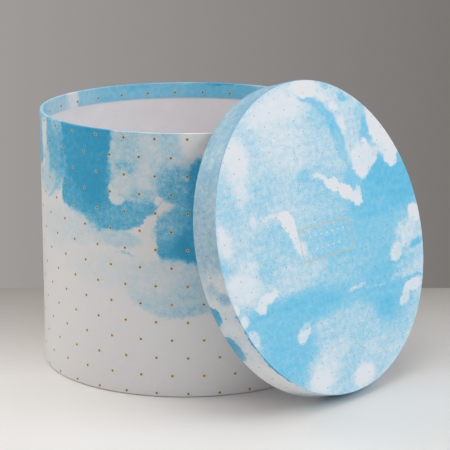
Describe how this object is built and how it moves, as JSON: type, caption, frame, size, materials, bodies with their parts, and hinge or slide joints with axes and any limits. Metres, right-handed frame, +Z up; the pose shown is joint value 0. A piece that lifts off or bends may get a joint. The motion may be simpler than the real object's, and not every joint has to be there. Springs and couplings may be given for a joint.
{
  "type": "hat box",
  "caption": "Round hat box of paper-covered greyboard: a tall drum wrapped in printed art paper, with a shallow lift-off lid that stands leaning against it.",
  "frame": {"origin": "centre of the box's underside, on the surface that it stands on", "axes": "+Z up along the axis of the box's wall; +X towards the lid, which leans against the box with its printed face outward; +Y to the left of someone who looks along +X"},
  "size_m": [0.3535, 0.29, 0.2856],
  "materials": {
    "greyboard": "matte",
    "printed_wall_paper": "satin",
    "printed_rim_paper": "satin",
    "printed_face_paper": "satin",
    "white_lining_paper": "matte",
    "base_paper": "matte",
    "gold_foil": "satin",
    "dot_foil": "satin"
  },
  "bodies": {
    "box": {"wall_board": "greyboard", "base_board": "greyboard", "wall_wrap": "printed_wall_paper", "wall_lining": "white_lining_paper", "base_lining": "white_lining_paper", "base_cover_paper": "base_paper"},
    "lid": {"lid_rim_board": "greyboard", "lid_top_board": "greyboard", "lid_rim_wrap": "printed_rim_paper", "lid_rim_lining": "white_lining_paper", "lid_lining": "white_lining_paper", "lid_top_paper": "printed_face_paper"}
  },
  "joints": [
    {"name": "lid_lift", "type": "slide", "parent": "box", "child": "lid", "axis": [0, 0, 1], "range_m": [0, 0.27]}
  ]
}
